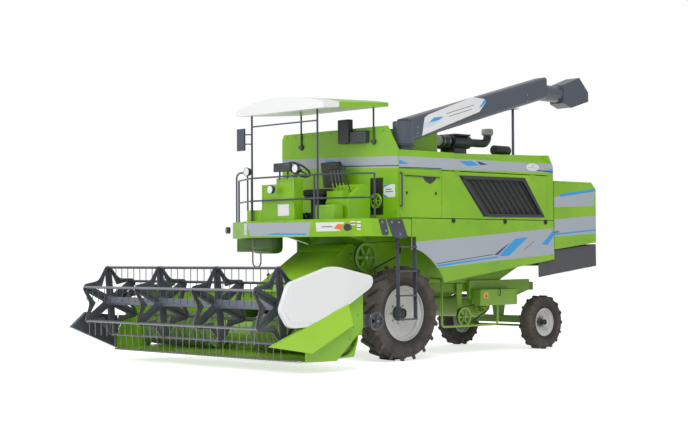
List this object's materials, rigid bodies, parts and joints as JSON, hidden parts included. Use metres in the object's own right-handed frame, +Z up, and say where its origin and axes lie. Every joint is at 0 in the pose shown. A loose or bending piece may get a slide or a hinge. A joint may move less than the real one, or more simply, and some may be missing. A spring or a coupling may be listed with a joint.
{
  "type": "combine harvester",
  "caption": "Self-propelled grain combine with a reel header, open platform under a canopy, grain tank, swinging unloading auger and straw hood.",
  "frame": {"origin": "on the ground, midway along the machine between divider tip and straw curtain, in the centre plane", "axes": "+X the machine's left, +Y its rear, +Z up"},
  "size_m": [4.66, 8.5, 4.7],
  "materials": {
    "green_paint": "gloss",
    "slate_paint": "satin",
    "white_panel": "gloss",
    "rim_paint": "satin",
    "tyre_rubber": "matt",
    "flap_rubber": "matt",
    "seat_vinyl": "satin",
    "black_parts": "satin",
    "lamp_glass": "gloss",
    "chassis_paint": "satin",
    "engine_iron": "satin",
    "bright_steel": "bright"
  },
  "bodies": {
    "root": {"chassis_frame": "chassis_paint", "front_axle": "chassis_paint", "rear_axle": "chassis_paint", "threshing_body": "green_paint", "grain_tank": "green_paint", "engine": "engine_iron", "engine_hood": "green_paint", "air_intake": "slate_paint", "lower_panels": "green_paint", "front_panels": "green_paint", "straw_hood": "green_paint", "straw_curtain": "flap_rubber", "platform": "green_paint", "railing": "slate_paint", "ladder": "slate_paint", "canopy": "white_panel", "canopy_posts": "slate_paint", "seat_cushion": "seat_vinyl", "seat_base": "black_parts", "steering_column": "green_paint", "lever_console": "green_paint", "lamps": "lamp_glass", "mirror": "black_parts", "oil_tank": "chassis_paint", "auger_turret": "slate_paint", "side_frames": "chassis_paint", "tow_hitch": "chassis_paint"},
    "header": {"feeder_house": "green_paint", "header_frame": "green_paint", "cutter_bar": "bright_steel", "divider_left": "green_paint", "divider_right": "slate_paint"},
    "table_auger": {"table_auger": "slate_paint"},
    "reel_arms": {"reel_arms": "slate_paint", "belt_cover": "white_panel"},
    "reel": {"reel": "slate_paint"},
    "lift_barrels": {"lift_barrels": "slate_paint"},
    "lift_rods": {"lift_rods": "bright_steel"},
    "reel_barrels": {"reel_barrels": "slate_paint"},
    "reel_rods": {"reel_rods": "bright_steel"},
    "unloader": {"unloading_auger": "slate_paint"},
    "side_door_l": {"side_door_l": "green_paint"},
    "side_door_r": {"side_door_r": "green_paint"},
    "knuckle_l": {"knuckle_l": "chassis_paint"},
    "knuckle_r": {"knuckle_r": "chassis_paint"},
    "tie_rod": {"tie_rod": "chassis_paint"},
    "wheel_fl": {"rim_fl": "rim_paint", "tyre_fl": "tyre_rubber"},
    "wheel_fr": {"rim_fr": "rim_paint", "tyre_fr": "tyre_rubber"},
    "wheel_rl": {"rim_rl": "rim_paint", "tyre_rl": "tyre_rubber"},
    "wheel_rr": {"rim_rr": "rim_paint", "tyre_rr": "tyre_rubber"}
  },
  "joints": [
    {"name": "wheel_fl_roll", "type": "hinge", "parent": "root", "child": "wheel_fl", "pos_m": [1.205, -0.6, 0.73], "axis": [1, 0, 0], "continuous": true},
    {"name": "wheel_fr_roll", "type": "hinge", "parent": "root", "child": "wheel_fr", "pos_m": [-1.205, -0.6, 0.73], "axis": [1, 0, 0], "continuous": true},
    {"name": "steer_l", "type": "hinge", "parent": "root", "child": "knuckle_l", "pos_m": [0.79, 3.16, 0.48], "axis": [0, 0, 1], "range_deg": [-35, 35]},
    {"name": "steer_r", "type": "hinge", "parent": "root", "child": "knuckle_r", "pos_m": [-0.79, 3.16, 0.48], "axis": [0, 0, 1], "range_deg": [-35, 35]},
    {"name": "tie_rod_slide", "type": "slide", "parent": "root", "child": "tie_rod", "axis": [1, 0, 0], "range_m": [-0.1, 0.1]},
    {"name": "wheel_rl_roll", "type": "hinge", "parent": "knuckle_l", "child": "wheel_rl", "pos_m": [0.956, 3.16, 0.46], "axis": [1, 0, 0], "continuous": true},
    {"name": "wheel_rr_roll", "type": "hinge", "parent": "knuckle_r", "child": "wheel_rr", "pos_m": [-0.956, 3.16, 0.46], "axis": [1, 0, 0], "continuous": true},
    {"name": "header_lift", "type": "hinge", "parent": "root", "child": "header", "pos_m": [0, -0.94, 1.59], "axis": [-1, 0, 0], "range_deg": [-2, 20]},
    {"name": "lift_barrel_turn", "type": "hinge", "parent": "root", "child": "lift_barrels", "pos_m": [0, -0.83, 0.56], "axis": [-1, 0, 0], "range_deg": [-1.72, 14.46]},
    {"name": "lift_rod_slide", "type": "slide", "parent": "lift_barrels", "child": "lift_rods", "axis": [0, -0.9952, 0.0974], "range_m": [-0.0374, 0.3469]},
    {"name": "table_auger_turn", "type": "hinge", "parent": "header", "child": "table_auger", "pos_m": [0, -2.71, 0.5], "axis": [1, 0, 0], "continuous": true},
    {"name": "reel_lift", "type": "hinge", "parent": "header", "child": "reel_arms", "pos_m": [0, -2.43, 1.2], "axis": [-1, 0, 0], "range_deg": [0, 20]},
    {"name": "reel_barrel_turn", "type": "hinge", "parent": "header", "child": "reel_barrels", "pos_m": [0, -2.56, 0.7], "axis": [-1, 0, 0], "range_deg": [0, 11.76]},
    {"name": "reel_rod_slide", "type": "slide", "parent": "reel_barrels", "child": "reel_rods", "axis": [0, -0.7593, 0.6508], "range_m": [0, 0.1576]},
    {"name": "reel_turn", "type": "hinge", "parent": "reel_arms", "child": "reel", "pos_m": [0, -3.68, 0.94], "axis": [1, 0, 0], "continuous": true},
    {"name": "unloader_swing", "type": "hinge", "parent": "root", "child": "unloader", "pos_m": [1.18, -0.42, 3.4], "axis": [0, 0, -1], "range_deg": [0, 95]},
    {"name": "side_door_l_lift", "type": "hinge", "parent": "root", "child": "side_door_l", "pos_m": [1.35, 1.57, 2.951], "axis": [0, -1, 0], "range_deg": [0, 85]},
    {"name": "side_door_r_lift", "type": "hinge", "parent": "root", "child": "side_door_r", "pos_m": [-1.35, 1.57, 2.951], "axis": [0, 1, 0], "range_deg": [0, 85]}
  ],
  "couplings": [
    {"joint": "steer_r", "follows": "steer_l", "ratio": 1},
    {"joint": "tie_rod_slide", "follows": "steer_l", "m_per_rad": -0.16},
    {"joint": "lift_barrel_turn", "follows": "header_lift", "ratio": 0.708},
    {"joint": "lift_rod_slide", "follows": "header_lift", "m_per_rad": 0.9853},
    {"joint": "reel_barrel_turn", "follows": "reel_lift", "ratio": 0.5729},
    {"joint": "reel_rod_slide", "follows": "reel_lift", "m_per_rad": 0.4428}
  ]
}
